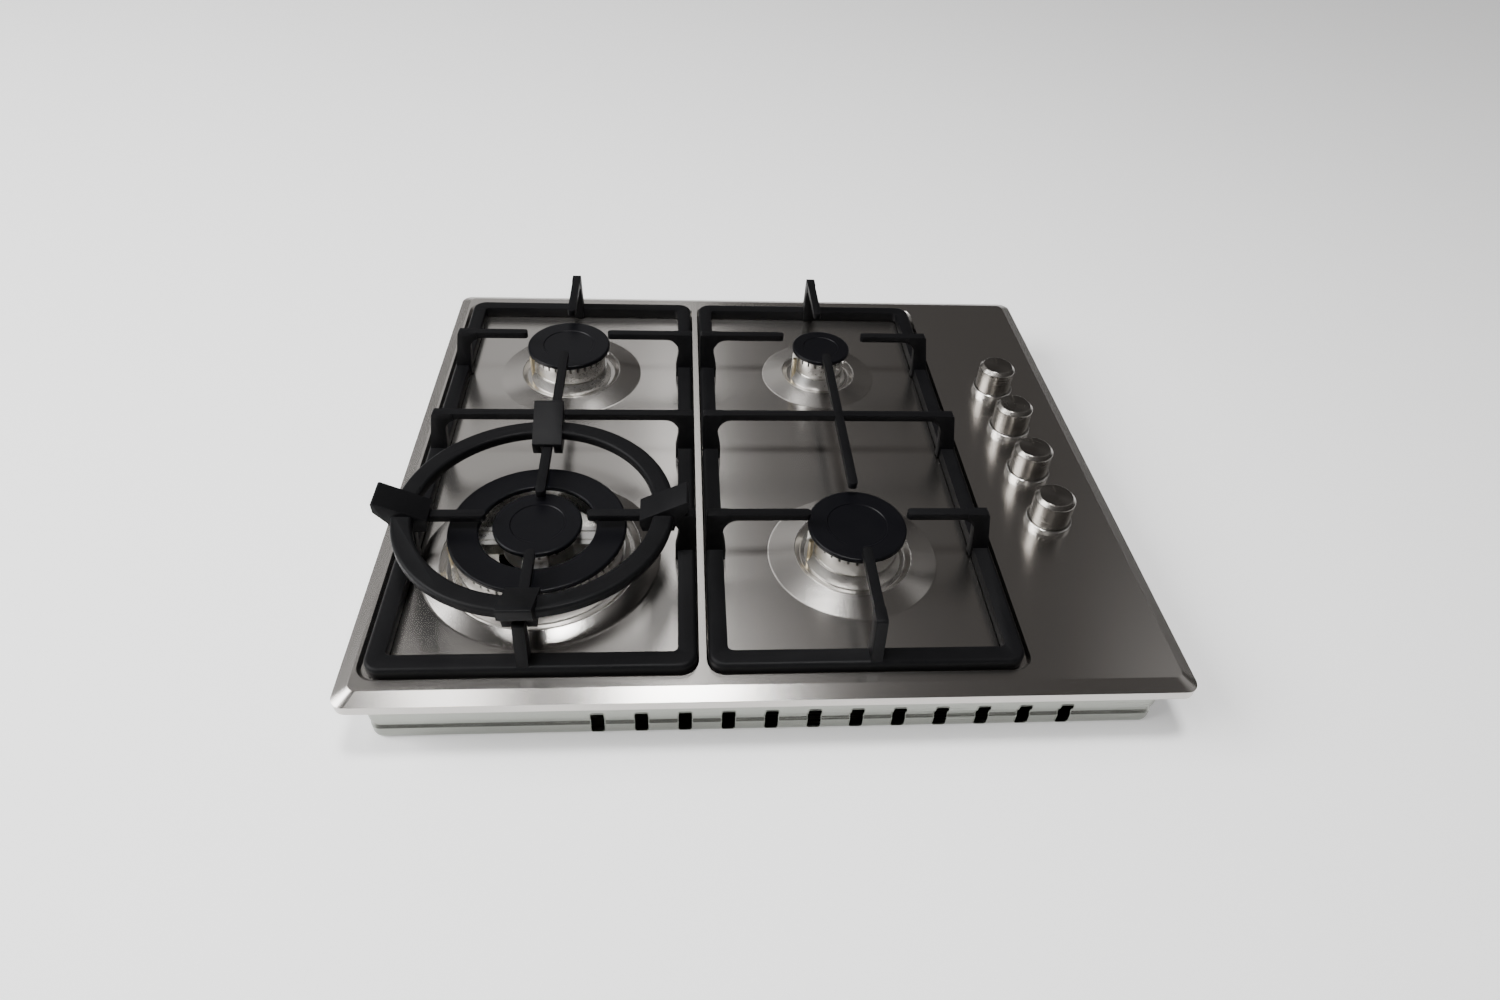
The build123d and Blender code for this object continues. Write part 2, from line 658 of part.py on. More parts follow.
def cap(crown_r, cap_r, low):
    """A domed black cap: sloped underside, upright edge, shallow dish on top, rib inside the crown."""
    high = low + CAP_H
    rib_r = crown_r - CROWN_WALL - FIT_GAP
    dish_r = cap_r * CAP_DISH_SHARE
    points = [
        (0, low),
        (rib_r - CAP_RIB_T, low),
        (rib_r - CAP_RIB_T, low - RIB_H),
        (rib_r, low - RIB_H),
        (rib_r, low),
        (crown_r, low),
        (cap_r, high - CAP_EDGE_H),
        (cap_r, high),
        (dish_r, high),
        (dish_r - CAP_DISH_DEPTH, high - CAP_DISH_DEPTH),
        (0, high - CAP_DISH_DEPTH),
    ]
    rounds = [((cap_r, high), CAP_ROUND), ((cap_r, high - CAP_EDGE_H), CAP_ROUND / 2)]
    return turned(points, rounds)


def ring_cap(b):
    """The outer cap of the wok burner, open in the middle."""
    high = CROWN_Z + CAP_H
    hole_r = WOK_HOLE_R + HOLE_OVERHANG
    rib_r = b.crown_r - CROWN_WALL - FIT_GAP
    points = [
        (hole_r, CROWN_Z),
        (rib_r - CAP_RIB_T, CROWN_Z),
        (rib_r - CAP_RIB_T, CROWN_Z - RIB_H),
        (rib_r, CROWN_Z - RIB_H),
        (rib_r, CROWN_Z),
        (b.crown_r, CROWN_Z),
        (b.cap_r, high - CAP_EDGE_H),
        (b.cap_r, high),
        (WOK_HOLE_R, high),
        (WOK_HOLE_R, high - CAP_EDGE_H),
    ]
    rounds = [
        ((b.cap_r, high), CAP_ROUND),
        ((b.cap_r, high - CAP_EDGE_H), CAP_ROUND / 2),
        ((WOK_HOLE_R, high), CAP_ROUND),
        ((WOK_HOLE_R, high - CAP_EDGE_H), CAP_ROUND / 2),
    ]
    return Pos(b.x, b.y, 0) * turned(points, rounds)


def spark_electrodes():
    group = Part()
    for b in BURNERS:
        x, y = b.beside(CERAMIC_R, IGNITER_ANGLE)
        pin = rod(PIN_R, CROWN_Z - 2 * PORT_H, CROWN_Z - PORT_H / 2, x, y)
        group += rod(CERAMIC_R, ROD_FOOT_Z, CROWN_Z - 2 * PORT_H, x, y) + pin
    return group


def thermocouples():
    group = Part()
    for b in BURNERS:
        x, y = b.beside(PROBE_R, PROBE_ANGLE)
        nut = extrude(Plane((x, y, FLANGE_Z - NUT_H)) * RegularPolygon(NUT_R, 6), NUT_H)
        nut -= rod(b.collar_r, ROD_FOOT_Z, FLANGE_Z + SPARE, b.x, b.y)
        group += rod(PROBE_R, ROD_FOOT_Z, CROWN_Z - PORT_H, x, y) + nut
    return group


# ---------------------------------------------------------------- gas way


def tube(points, radius, bend_r):
    """A round bar along straight runs joined by arcs."""
    path = FilletPolyline(*points, radius=bend_r)
    start = Plane(origin=path @ 0, z_dir=path % 0)
    return sweep(start * Circle(radius), path)


def gas_pipe(b, row_y, inlet_angle):
    """A feed pipe from its tap to the socket of its burner cup."""
    a = math.radians(inlet_angle)
    reach = CUP_ARM - SOCKET_DEPTH
    end = (b.x + reach * math.cos(a), b.y + reach * math.sin(a), PIPE_Z)
    start = (TAP_MOUTH_X + SOCKET_DEPTH, row_y, PIPE_Z)
    if inlet_angle == 0:
        turn_x = (TAP_MOUTH_X + b.x + CUP_ARM) / 2
        middle = [(turn_x, row_y, PIPE_Z), (turn_x, b.y, PIPE_Z)]
    else:
        middle = [(b.x, row_y, PIPE_Z)]
    return tube([start] + middle + [end], PIPE_R, PIPE_BEND_R)


def gas_rail():
    end_y = CASE_D / 2 - CASE_T - INLET_NUT_L + SOCKET_DEPTH / 2
    rail = rod_y(RAIL_R, RAIL_FRONT_Y, end_y, RAIL_X, PIPE_Z)
    rail -= rod_y(RAIL_BORE_R, RAIL_FRONT_Y + RAIL_R - RAIL_BORE_R, end_y + SPARE, RAIL_X, PIPE_Z)
    for y in KNOB_ROWS:
        rail -= rod_x(JET_BORE_R, RAIL_X - RAIL_R - SPARE, RAIL_X, y, PIPE_Z)
    return rail


def gas_inlet():
    """The screwed stub behind the case, with its collar inside the wall."""
    wall_y = CASE_D / 2 - CASE_T
    nut_y = wall_y - INLET_NUT_L
    hexagon = Plane((RAIL_X, nut_y, PIPE_Z), z_dir=(0, 1, 0)) * RegularPolygon(INLET_NUT_R, 6)
    inlet = extrude(hexagon, INLET_NUT_L)
    inlet += rod_y(INLET_R, wall_y, CASE_D / 2 + INLET_STUB, RAIL_X, PIPE_Z)
    inlet -= rod_y(RAIL_R, nut_y - SPARE, nut_y + SOCKET_DEPTH / 2, RAIL_X, PIPE_Z)
    inlet -= rod_y(INLET_BORE_R, nut_y - SPARE, CASE_D / 2 + INLET_STUB + SPARE, RAIL_X, PIPE_Z)
    return inlet


def rail_brackets():
    group = Part()
    for y in RAIL_BRACKET_ROWS:
        saddle = block(RAIL_X - BRACKET_W / 2, RAIL_X + BRACKET_W / 2, y - BRACKET_W / 2, y + BRACKET_W / 2,
                       CASE_T, PIPE_Z - RAIL_R / 2)
        group += saddle - rod_y(RAIL_R, y - BRACKET_W, y + BRACKET_W, RAIL_X, PIPE_Z)
    return group


# ---------------------------------------------------------------- taps and knobs


def d_shape(radius, flat, low, high):
    """A round bar with one flat, as a tap stem has."""
    bar = rod(radius, low, high)
    return bar - block(flat, radius + SPARE, -radius - SPARE, radius + SPARE, low - SPARE, high + SPARE)


def tap_body():
    """Brass body: tapered seat for the plug, bonnet over the spring, inlet saddle and outlet socket."""
    body = rod(TAP_BODY_R, TAP_FLOOR_Z, TAP_TOP_Z)
    body += rod(BONNET_R, TAP_TOP_Z, BONNET_Z)
    body += block(0, RAIL_DX, -SADDLE_W / 2, SADDLE_W / 2, PIPE_Z - SOCKET_R, PIPE_Z + SOCKET_R)
    mouth = TAP_MOUTH_X - KNOB_X
    body += rod_x(SOCKET_R, mouth, 0, 0, PIPE_Z)
    body -= rod_y(RAIL_R, -SADDLE_W, SADDLE_W, RAIL_DX, PIPE_Z)
    seat = Pos(0, 0, (PLUG_FOOT_Z + PLUG_TOP_Z) / 2) * Cone(
        PLUG_FOOT_R + PLUG_GAP, PLUG_TOP_R + PLUG_GAP, PLUG_TOP_Z - PLUG_FOOT_Z)
    body -= seat
    body -= rod(PLUG_FOOT_R + PLUG_GAP, PLUG_FOOT_Z - PLUG_GAP, PLUG_FOOT_Z)
    body -= rod(PLUG_TOP_R + PLUG_GAP, PLUG_TOP_Z, BONNET_Z - ROOF_T)
    body -= rod(STEM_R + PLUG_GAP, BONNET_Z - ROOF_T - SPARE, BONNET_Z + SPARE)
    body -= rod_x(JET_BORE_R, mouth, RAIL_DX, 0, PIPE_Z)
    body -= rod_x(PIPE_R, mouth - SPARE, mouth + SOCKET_DEPTH, 0, PIPE_Z)
    return body


def tap_plug():
    """The tapered plug that opens and shuts the gas way; the stem slides in its D-shaped socket."""
    plug = Pos(0, 0, (PLUG_FOOT_Z + PLUG_TOP_Z) / 2) * Cone(
        PLUG_FOOT_R, PLUG_TOP_R, PLUG_TOP_Z - PLUG_FOOT_Z)
    plug -= d_shape(STEM_R + PLUG_GAP, STEM_FLAT + PLUG_GAP,
                    STEM_LOW_Z - PUSH_TRAVEL - SPARE, PLUG_TOP_Z + SPARE)
    return plug


def tap_stem():
    stem = d_shape(STEM_R, STEM_FLAT, STEM_LOW_Z, BONNET_Z - ROOF_T - STEM_COLLAR_T)
    stem += rod(STEM_COLLAR_R, BONNET_Z - ROOF_T - STEM_COLLAR_T, BONNET_Z - ROOF_T)
    stem += rod(STEM_R, BONNET_Z - ROOF_T, KNOB_FOOT_Z)
    stem += d_shape(STEM_R, STEM_FLAT, KNOB_FOOT_Z, STEM_TOP_Z)
    return stem


def tap_spring():
    """The return spring between the plug and the collar of the stem."""
    height = BONNET_Z - ROOF_T - STEM_COLLAR_T - PLUG_TOP_Z - 2 * SPRING_WIRE_R
    path = Helix(height / SPRING_TURNS, height, SPRING_R)
    print("least gap between the turns of a tap spring", height / SPRING_TURNS - 2 * SPRING_WIRE_R)
    start = Plane(origin=path @ 0, z_dir=path % 0)
    return Pos(0, 0, PLUG_TOP_Z + SPRING_WIRE_R) * sweep(start * Circle(SPRING_WIRE_R), path)


def knob():
    """Hollow turned knob with a chamfered top, a hub for the stem and a pointer groove."""
    roof_z = KNOB_TOP_Z - KNOB_WALL
    shell = turned([
        (0, KNOB_FOOT_Z),
        (KNOB_R, KNOB_FOOT_Z),
        (KNOB_R, KNOB_TOP_Z - KNOB_CHAMFER),
        (KNOB_R - KNOB_CHAMFER, KNOB_TOP_Z),
        (0, KNOB_TOP_Z),
    ], [((KNOB_R, KNOB_TOP_Z - KNOB_CHAMFER), KNOB_ROUND), ((KNOB_R - KNOB_CHAMFER, KNOB_TOP_Z), KNOB_ROUND)])
    shell -= rod(KNOB_R - KNOB_WALL, KNOB_FOOT_Z - SPARE, roof_z - KNOB_CHAMFER)
    hub = rod(HUB_R, KNOB_FOOT_Z + HUB_RECESS, roof_z)
    shell += hub
    shell -= d_shape(STEM_R, STEM_FLAT, KNOB_FOOT_Z, STEM_TOP_Z)
    pointer = block(-POINTER_W / 2, POINTER_W / 2, KNOB_R / 4, KNOB_R,
                    KNOB_TOP_Z - POINTER_DEPTH, KNOB_TOP_Z + SPARE)
    return shell - pointer


def knob_bezel():
    inner_r = KNOB_R + BEZEL_GAP
    high = PANEL_Z + BEZEL_H
    ring = [(inner_r, PANEL_Z), (BEZEL_R, PANEL_Z), (BEZEL_R, high), (inner_r, high)]
    return turned(ring, [((BEZEL_R, high), BEZEL_ROUND), ((inner_r, high), BEZEL_ROUND / 2)])


def stem_seal():
    """Rubber grommet in the panel hole of a stem."""
    seal = rod(SEAL_BORE_R, PANEL_Z - SHEET_T, PANEL_Z)
    seal += rod(SEAL_BORE_R + SEAL_T, PANEL_Z, PANEL_Z + SEAL_T)
    seal += rod(SEAL_BORE_R + SEAL_T, PANEL_Z - SHEET_T - SEAL_T, PANEL_Z - SHEET_T)
    return seal - rod(STEM_R + BEZEL_GAP, PANEL_Z - 3 * SEAL_T, PANEL_Z + 3 * SEAL_T)


def ignition_switch():
    side = BONNET_R + SWITCH_WALL
    case = block(-side, side, -side, side, BONNET_Z, BONNET_Z + SWITCH_H)
    return case - rod(STEM_R + SWITCH_GAP, BONNET_Z - SPARE, BONNET_Z + SWITCH_H + SPARE)


def at_rows(shape):
    """One copy of a shape at each knob."""
    group = Part()
    for y in KNOB_ROWS:
        group += Pos(KNOB_X, y, 0) * shape
    return group


# ---------------------------------------------------------------- pan supports


def finger(start, reach):
    """A finger along +X with a rounded end; its top is level with the others."""
    half = FINGER_W / 2
    bar = block(start, reach, -half, half, FINGER_Z - FINGER_T, FINGER_Z)
    return fillet(bar.edges().filter_by(Axis.Z).group_by(Axis.X)[-1], FINGER_TIP_ROUND)


def leg(reach, lean, top_w):
    """A leg and its finger; the foot's outer edge is at x = 0 and the finger points along +X."""
    under = FINGER_Z - FINGER_T
    bend = lean + top_w + 3 * KNEE_R / 2
    knee = (lean + top_w, under)
    outline = outlined([
        (0, BAR_Z),
        (lean, FINGER_Z),
        (bend, FINGER_Z),
        (bend, under),
        knee,
        (LEG_FOOT_W, BAR_Z + BAR_H),
        (LEG_FOOT_W, BAR_Z),
    ], [(knee, KNEE_R), ((lean, FINGER_Z), ELBOW_R)])
    web = extrude(outline, FINGER_W / 2, both=True)
    plate = extrude(outline, LEG_T / 2, both=True)
    plate &= block(0, bend - KNEE_R, -LEG_T, LEG_T, BAR_Z, FINGER_Z)
    return web + plate + finger(bend - KNEE_R / 2, reach)


def pan_support(side, rear_x, front_x, front_tip_r):
    """Frame, six side legs, two end legs and the middle fingers of one pan support."""
    near_x = BRIDGE_X + side * SUPPORT_EDGE
    far_x = near_x + side * SUPPORT_W
    middle_x = (near_x + far_x) / 2
    frame = prism(SUPPORT_W, SUPPORT_D, FRAME_CORNER_R, BAR_Z, BAR_Z + BAR_H, middle_x, SUPPORT_Y)
    frame = fillet(frame.edges().group_by(Axis.Z)[-1], BAR_ROUND)
    frame -= prism(SUPPORT_W - 2 * BAR_W, SUPPORT_D - 2 * BAR_W, FRAME_CORNER_R / 3,
                   BAR_Z - SPARE, BAR_Z + BAR_H + SPARE, middle_x, SUPPORT_Y)
    turn_in = 0 if side > 0 else 180
    for x, y, tip_r in ((rear_x, REAR_Y, TIP_R), (rear_x, CROSS_Y, -FINGER_TIP_ROUND), (front_x, FRONT_Y, TIP_R)):
        inner = leg(abs(x - near_x) - tip_r, 0.0, SIDE_TOP_W)
        outer = leg(abs(far_x - x) - tip_r, LEG_LEAN, SIDE_TOP_W)
        frame += Pos(near_x, y, 0) * Rot(0, 0, turn_in) * inner
        frame += Pos(far_x, y, 0) * Rot(0, 0, 180 - turn_in) * outer
    rear_y = SUPPORT_Y + SUPPORT_D / 2
    front_y = SUPPORT_Y - SUPPORT_D / 2
    rear = leg(rear_y - REAR_Y - TIP_R, END_LEAN, END_TOP_W)
    front = leg(FRONT_Y - TIP_R - front_y, END_LEAN, END_TOP_W)
    frame += Pos(rear_x, rear_y, 0) * Rot(0, 0, -90) * rear
    frame += Pos(front_x, front_y, 0) * Rot(0, 0, 90) * front
    frame += Pos(front_x, CROSS_Y, 0) * Rot(0, 0, -90) * finger(0, CROSS_Y - FRONT_Y - front_tip_r)
    frame += Pos(rear_x, CROSS_Y, 0) * Rot(0, 0, 90) * finger(0, REAR_Y - CROSS_TIP_R - CROSS_Y)
    return frame


def support_feet(side):
    """Rubber feet under the corners and long bars of one pan support."""
    near_x = BRIDGE_X + side * (SUPPORT_EDGE + BAR_W / 2)
    far_x = BRIDGE_X + side * (SUPPORT_EDGE + SUPPORT_W - BAR_W / 2)
    reach = (SUPPORT_D - BAR_W) / 2 - FRAME_CORNER_R
    group = Part()
    for x in (near_x, far_x):
        for y in (SUPPORT_Y - reach, SUPPORT_Y, SUPPORT_Y + reach):
            group += rod(FOOT_R, TRAY_Z, BAR_Z, x, y)
    return group


def wok_ring():
    """Cast ring with four sloped lugs, forked below so that they straddle the fingers."""
    low = FINGER_Z + REST_GAP
    ring = turned([
        (RING_IN_R, low),
        (RING_OUT_R, low),
        (RING_OUT_R, low + RING_T),
        (RING_IN_R, low + RING_T),
    ], [((RING_OUT_R, low + RING_T), RING_ROUND), ((RING_IN_R, low + RING_T), RING_ROUND)])
    inner_top = FINGER_Z + LUG_START
    outer_top = inner_top + LUG_RISE
    side_view = outlined([
        (LUG_IN_R, inner_top),
        (LUG_OUT_R, outer_top),
        (LUG_OUT_R, outer_top - LUG_T),
        (RING_OUT_R + LUG_STEP, low),
        (RING_OUT_R, FINGER_Z - LUG_DROP),
        (LUG_IN_R + LUG_STEP, FINGER_Z - LUG_DROP),
        (LUG_IN_R, inner_top - LUG_T / 2),
    ], [((LUG_OUT_R, outer_top), LUG_ROUND), ((RING_OUT_R + LUG_STEP, low), LUG_T)])
    lug = extrude(side_view, LUG_W / 2, both=True)
    notch_w = LEG_T + 2 * NOTCH_GAP
    lug -= block(LUG_IN_R - SPARE, LUG_OUT_R + SPARE, -notch_w / 2, notch_w / 2, FINGER_Z - 2 * LUG_DROP, low)
    for copy in polar(lug, FINGER_COUNT):
        ring += copy
    return Pos(WOK.x, WOK.y, 0) * ring


# ---------------------------------------------------------------- electrics


def ignition_generator():
    w, d = IGNITER_W / 2, IGNITER_D / 2
    box = block(BRIDGE_X - w, BRIDGE_X + w, IGNITER_Y - d, IGNITER_Y + d, CASE_T, CASE_T + IGNITER_H)
    return fillet(box.edges().filter_by(Axis.Z), IGNITER_ROUND)


def spark_leads():
    """One lead from the spark generator to each electrode, along the case floor."""
    group = Part()
    for b in BURNERS:
        x, y = b.beside(CERAMIC_R, IGNITER_ANGLE)
        start_x = BRIDGE_X + math.copysign(IGNITER_W / 2, b.x - BRIDGE_X)
        start_y = IGNITER_Y + math.copysign(IGNITER_D / 4, b.y)
        points = [(start_x, start_y, LEAD_Z), (x, start_y, LEAD_Z), (x, y, LEAD_Z), (x, y, ROD_FOOT_Z)]
        group += tube(points, LEAD_R, LEAD_BEND_R)
    return group


def cable_grommet():
    """Grommet of the mains cable in the rear wall."""
    wall_y = CASE_D / 2 - CASE_T
    neck_r = GROMMET_R - GROMMET_LIP
    grommet = rod_y(neck_r, wall_y, CASE_D / 2, GROMMET_X, PIPE_Z)
    grommet += rod_y(GROMMET_R, CASE_D / 2, CASE_D / 2 + GROMMET_LIP, GROMMET_X, PIPE_Z)
    grommet += rod_y(GROMMET_R, wall_y - GROMMET_LIP, wall_y, GROMMET_X, PIPE_Z)
    bore = rod_y(GROMMET_BORE_R, wall_y - 2 * GROMMET_LIP, CASE_D / 2 + 2 * GROMMET_LIP, GROMMET_X, PIPE_Z)
    return grommet - bore


# ---------------------------------------------------------------- all nodes

save(top_panel(), "top_panel")
save(bottom_case(), "bottom_case")
save(rim_seal(), "rim_seal")
save(case_brackets(), "case_brackets")
save(case_screws(), "case_screws")

FEEDS = [(SMALL, 0), (REAR, -90), (WOK, 90), (FRONT, 0)]  # burners and the angles of their inlet arms
for row_y, (burner, inlet_angle) in zip(KNOB_ROWS, FEEDS):
    save(burner_cup(burner, inlet_angle), "burner_cup_" + burner.name)
    save(gas_pipe(burner, row_y, inlet_angle), "gas_pipe_" + burner.name)

for burner in (SMALL, REAR, FRONT):
    place = Pos(burner.x, burner.y, 0)
    save(round_crown(burner), "crown_" + burner.name)
    save(place * cap(burner.crown_r, burner.cap_r, CROWN_Z), "cap_" + burner.name)
save(wok_crown(WOK), "crown_wok")
save(ring_cap(WOK), "cap_wok_ring")
core_cap = cap(WOK_CORE_R - CAP_OVERHANG, WOK_CORE_R, CROWN_Z + WOK_CORE_RISE)
save(Pos(WOK.x, WOK.y, 0) * core_cap, "cap_wok_core")
save(Part() + [injector(b) for b in BURNERS], "injectors")
save(burner_nuts(), "burner_nuts")
save(spark_electrodes(), "spark_electrodes")
save(thermocouples(), "thermocouples")

for i, y in enumerate(KNOB_ROWS):
    place = Pos(KNOB_X, y, 0)
    number = str(i + 1)
    save(place * knob(), "knob_" + number)
    save(place * tap_stem(), "tap_stem_" + number)
    save(place * tap_plug(), "tap_plug_" + number)
    save(place * tap_body(), "tap_body_" + number)
    save(place * tap_spring(), "tap_spring_" + number)
save(at_rows(knob_bezel()), "knob_bezels")
save(at_rows(stem_seal()), "stem_seals")
save(at_rows(ignition_switch()), "ignition_switches")

save(gas_rail(), "gas_rail")
save(gas_inlet(), "gas_inlet")
save(rail_brackets(), "rail_brackets")

save(pan_support(-1, LEFT_X, WOK_X, WOK_CROSS_TIP_R), "pan_support_left")
save(pan_support(1, RIGHT_X, RIGHT_X, CROSS_TIP_R), "pan_support_right")
save(support_feet(-1), "support_feet_left")
save(support_feet(1), "support_feet_right")
save(wok_ring(), "wok_ring")

save(ignition_generator(), "ignition_generator")
save(spark_leads(), "spark_leads")
save(cable_grommet(), "cable_grommet")
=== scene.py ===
# %% [markdown]
# # A gas hob in brushed steel and cast iron
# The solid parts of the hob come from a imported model, which is the fixed frame. This script gives
# each of them its finish, softens the castings, adds small repeated details with Geometry Nodes,
# and sets up a camera, lights and a floor. Every length is in metres, and Z points up.

# %% Load the frame
import json
import math

import bmesh
import bpy
from mathutils import Matrix, Vector


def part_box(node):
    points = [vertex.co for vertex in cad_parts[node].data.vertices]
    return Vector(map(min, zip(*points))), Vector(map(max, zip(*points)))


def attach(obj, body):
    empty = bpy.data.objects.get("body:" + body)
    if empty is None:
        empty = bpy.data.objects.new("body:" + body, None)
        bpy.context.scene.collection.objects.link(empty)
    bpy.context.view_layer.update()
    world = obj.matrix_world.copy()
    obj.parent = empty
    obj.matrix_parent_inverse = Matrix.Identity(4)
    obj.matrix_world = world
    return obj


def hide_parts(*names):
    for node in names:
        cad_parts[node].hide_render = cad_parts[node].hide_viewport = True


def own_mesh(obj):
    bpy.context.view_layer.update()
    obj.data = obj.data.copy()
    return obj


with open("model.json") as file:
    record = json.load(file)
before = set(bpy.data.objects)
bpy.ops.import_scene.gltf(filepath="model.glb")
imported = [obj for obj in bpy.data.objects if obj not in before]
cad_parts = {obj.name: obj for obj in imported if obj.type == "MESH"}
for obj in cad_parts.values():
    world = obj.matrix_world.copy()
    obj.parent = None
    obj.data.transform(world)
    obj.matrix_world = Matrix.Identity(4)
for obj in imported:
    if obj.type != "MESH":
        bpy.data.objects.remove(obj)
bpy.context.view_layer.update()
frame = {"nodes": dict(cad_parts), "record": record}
nodes = frame["nodes"]

# %% [markdown]
# ## The camera
# The photograph looks down on the hob from the front, a little to the left of its middle. The
# camera is turned in four steps: about the upright axis, from world axes to view axes, tilted
# down, and rolled. The lens is given in millimetres on a sensor 36 mm wide.

# %% Camera
LENS = 21.93
CAMERA_AT = Vector((-0.06586, -0.60655, 0.56057))
TILT_DOWN, TURN, ROLL = 0.740868, 0.103946, 0.068327

turn = Matrix.Rotation(TURN, 3, "Z")
to_view = Matrix(((1, 0, 0), (0, 0, -1), (0, 1, 0)))
tilt = Matrix.Rotation(TILT_DOWN, 3, "X")
roll = Matrix.Rotation(ROLL, 3, "Z")
right, down, forward = roll @ tilt @ to_view @ turn

camera = bpy.data.objects.new("camera", bpy.data.cameras.new("camera"))
bpy.context.scene.collection.objects.link(camera)
camera.data.lens = LENS
camera.data.sensor_width = 36
camera.data.clip_start = 0.01
facing = Matrix((right, -down, -forward)).transposed()
camera.matrix_world = Matrix.Translation(CAMERA_AT) @ facing.to_4x4()
bpy.context.scene.camera = camera
print("camera looks along", tuple(round(v, 3) for v in forward))

# %% [markdown]
# ## Floor and light
# Steel shows mostly what it reflects, so the light matters more than its colour. A dim room keeps
# the sheet dark, as in the photograph. A lamp above and in front of the hob gives the glints on
# the pressed rings, and a smaller one on its left is aimed at the front of the left tray. A broad
# panel behind on the left gives the pale sheen on that side. Most of the side light comes from
# the left alone, so that each knob shows one bright stripe, not two. The floor glows a little by
# itself, which keeps it pale without more light on the metal. A narrow upright strip far behind
# is mirrored as the bright band down the middle of the panel.


# %% Floor, room and lamps
def new_material(name):
    """A material with an empty node tree except for the Principled shader and the output."""
    material = bpy.data.materials.new(name)
    material.use_nodes = True
    shader = material.node_tree.nodes["Principled BSDF"]
    return material, material.node_tree, shader


def lamp(name, place, aim, size, power):
    """A white rectangular area light that points from its place at a target."""
    data = bpy.data.lights.new(name, "AREA")
    data.shape = "RECTANGLE"
    data.size, data.size_y = size
    data.energy = power
    light = bpy.data.objects.new(name, data)
    bpy.context.scene.collection.objects.link(light)
    light.location = place
    light.rotation_euler = (Vector(aim) - Vector(place)).to_track_quat("-Z", "Y").to_euler()


FLOOR_REACH = 9
floor_mesh = bpy.data.meshes.new("floor")
corners = ((-1, -1), (1, -1), (1, 1), (-1, 1))
floor_mesh.from_pydata([(x * FLOOR_REACH, y * FLOOR_REACH, 0) for x, y in corners], [],
                       [(0, 1, 2, 3)])
floor = bpy.data.objects.new("floor", floor_mesh)
bpy.context.scene.collection.objects.link(floor)
floor_paint, _, floor_shader = new_material("floor_paint")
floor_shader.inputs["Base Color"].default_value = (0.92, 0.92, 0.92, 1)
floor_shader.inputs["Roughness"].default_value = 0.9
floor_shader.inputs["Specular IOR Level"].default_value = 0.1
floor_shader.inputs["Emission Color"].default_value = (1, 1, 1, 1)
floor_shader.inputs["Emission Strength"].default_value = 0.36
floor_mesh.materials.append(floor_paint)

room = bpy.data.worlds.new("room")
room.use_nodes = True
background = room.node_tree.nodes["Background"]
background.inputs["Color"].default_value = (0.36, 0.34, 0.33, 1)
background.inputs["Strength"].default_value = 0.28
bpy.context.scene.world = room

lamp("ceiling_lamp", (-0.06, -0.30, 1.60), (-0.06, -0.05, 0.06), (0.26, 0.26), 22)
lamp("left_wash", (-2.7, -0.4, 2.0), (0, 0.1, 0), (2.2, 1.8), 190)
lamp("right_wash", (2.7, 0.9, 2.6), (0, 0.4, 0), (2.2, 1.8), 6)
lamp("rear_left_panel", (-0.95, 1.9, 1.4), (-0.1, 0, 0.06), (1.7, 1.3), 4.5)
lamp("left_ceiling", (-0.62, -0.36, 1.60), (-0.2, -0.24, 0.06), (0.5, 0.2), 5)
lamp("rear_strip", (-0.06, 2.0, 2.3), (-0.06, 0, 0.06), (0.22, 1.5), 2.6)

# %% [markdown]
# ## Patterns that several finishes share
# Three shader node groups are built once and placed in each material with its own values. They
# put out only masks and heights. The first stretches noise into the straight lines of a brushed
# sheet. The second gives the round lines that a lathe leaves, from the distance to the axis of
# the piece. The third is the fine orange-peel grain of a sand casting under enamel.


# %% Shader groups
def new_group(name, inputs, outputs):
    """An empty shader node group. Inputs are (name, kind, value); outputs are names of floats."""
    group = bpy.data.node_groups.new(name, "ShaderNodeTree")
    for label, kind, value in inputs:
        socket = group.interface.new_socket(label, in_out="INPUT", socket_type=kind)
        socket.default_value = value
    for label in outputs:
        group.interface.new_socket(label, in_out="OUTPUT", socket_type="NodeSocketFloat")
    return group, group.nodes.new("NodeGroupInput"), group.nodes.new("NodeGroupOutput")


def add(tree, kind, **settings):
    """A node with its settings; a setting that names an input socket fills that socket."""
    node = tree.nodes.new(kind)
    for key, value in settings.items():
        if hasattr(node, key):
            setattr(node, key, value)
        else:
            node.inputs[key.replace("_", " ")].default_value = value
    return node


def maths(tree, operation, first, second=None):
    """A Math node; each operand is a number or an output socket."""
    node = tree.nodes.new("ShaderNodeMath")
    node.operation = operation
    for slot, operand in zip(node.inputs, (first, second)):
        if isinstance(operand, bpy.types.NodeSocket):
            tree.links.new(operand, slot)
        elif operand is not None:
            slot.default_value = operand
    return node.outputs[0]


def join(tree, *pairs):
    """Links each output to the input it is paired with, in order."""
    for source, target in pairs:
        tree.links.new(source, target)


brushed_lines, given, result = new_group(
    "brushed_lines", [("Stretch", "NodeSocketVector", (8, 900, 900))], ["Lines", "Cloud"])
place = add(brushed_lines, "ShaderNodeTexCoord")
stretched = add(brushed_lines, "ShaderNodeVectorMath", operation="MULTIPLY")
fine = add(brushed_lines, "ShaderNodeTexNoise", Scale=1.0, Detail=3.0, Roughness=0.7)
cloud = add(brushed_lines, "ShaderNodeTexNoise", Scale=9.0, Detail=3.0)
join(brushed_lines,
     (place.outputs["Object"], stretched.inputs[0]),
     (given.outputs["Stretch"], stretched.inputs[1]),
     (stretched.outputs[0], fine.inputs["Vector"]),
     (place.outputs["Object"], cloud.inputs["Vector"]),
     (fine.outputs["Fac"], result.inputs["Lines"]),
     (cloud.outputs["Fac"], result.inputs["Cloud"]))

